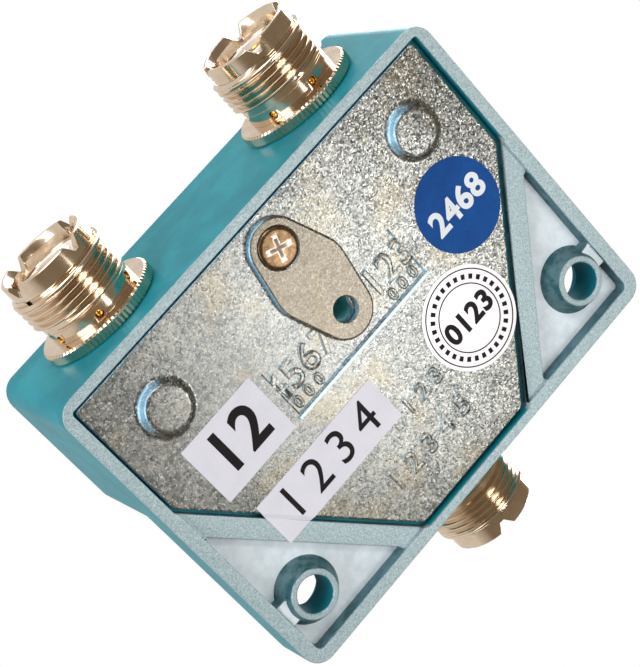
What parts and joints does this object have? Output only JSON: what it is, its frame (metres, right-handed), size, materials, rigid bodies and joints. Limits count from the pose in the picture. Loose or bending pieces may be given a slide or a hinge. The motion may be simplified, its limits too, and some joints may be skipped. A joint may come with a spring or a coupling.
{
  "type": "coaxial antenna switch",
  "caption": "Two-way coaxial antenna switch: die-cast housing with notched threaded sockets, open back with a cover plate, ear holes for screws and a rotary knob.",
  "frame": {"origin": "below the knob's axis, in the plane of the four feet (two buttons and two ear bosses), 0.75 mm behind the back rim", "axes": "+Z from the back to the knob, +Y towards the side with two sockets, +X along that side"},
  "size_m": [0.0746, 0.0798, 0.0461],
  "materials": {
    "teal_paint": "satin",
    "plated_steel": "plated",
    "dull_nickel": "dull nickel",
    "brown_steel": "brown plated",
    "nickel": "bright nickel",
    "white_resin": "white",
    "gold_brass": "bright",
    "steel": "satin",
    "dial_black": "matte",
    "knob_black": "satin",
    "white_ink": "matte",
    "blue_label": "printed film",
    "silver_label": "foil",
    "white_label": "paper"
  },
  "bodies": {
    "base": {"housing": "teal_paint", "rear_cover": "plated_steel", "tab_plate": "dull_nickel", "tab_screw": "brown_steel", "screw_insert": "plated_steel", "spare_insert": "teal_paint", "shell_a": "nickel", "shell_b": "nickel", "shell_common": "nickel", "insulator_a": "white_resin", "insulator_b": "white_resin", "insulator_common": "white_resin", "contact_a": "gold_brass", "contact_b": "gold_brass", "contact_common": "gold_brass", "strip_a": "gold_brass", "strip_b": "gold_brass", "strip_common": "gold_brass", "detent_spring": "steel", "bush": "nickel", "thrust_washer": "gold_brass", "nut_washer": "nickel", "bush_nut": "nickel", "dial_plate": "dial_black", "label_blue": "blue_label", "label_silver": "silver_label", "label_white": "white_label", "label_strip": "white_label"},
    "rotor": {"shaft": "steel", "knob": "knob_black", "set_screw": "steel", "pointer_line": "white_ink", "rotor_hub": "white_resin", "contact_blade": "gold_brass", "ground_yoke": "steel", "detent_wheel": "steel", "inner_clip": "steel", "outer_clip": "steel"}
  },
  "joints": [
    {"name": "knob_turn", "type": "hinge", "parent": "base", "child": "rotor", "pos_m": [0, 0, 0], "axis": [0, 0, -1], "range_deg": [0, 90], "deforming": ["detent_spring"]}
  ]
}
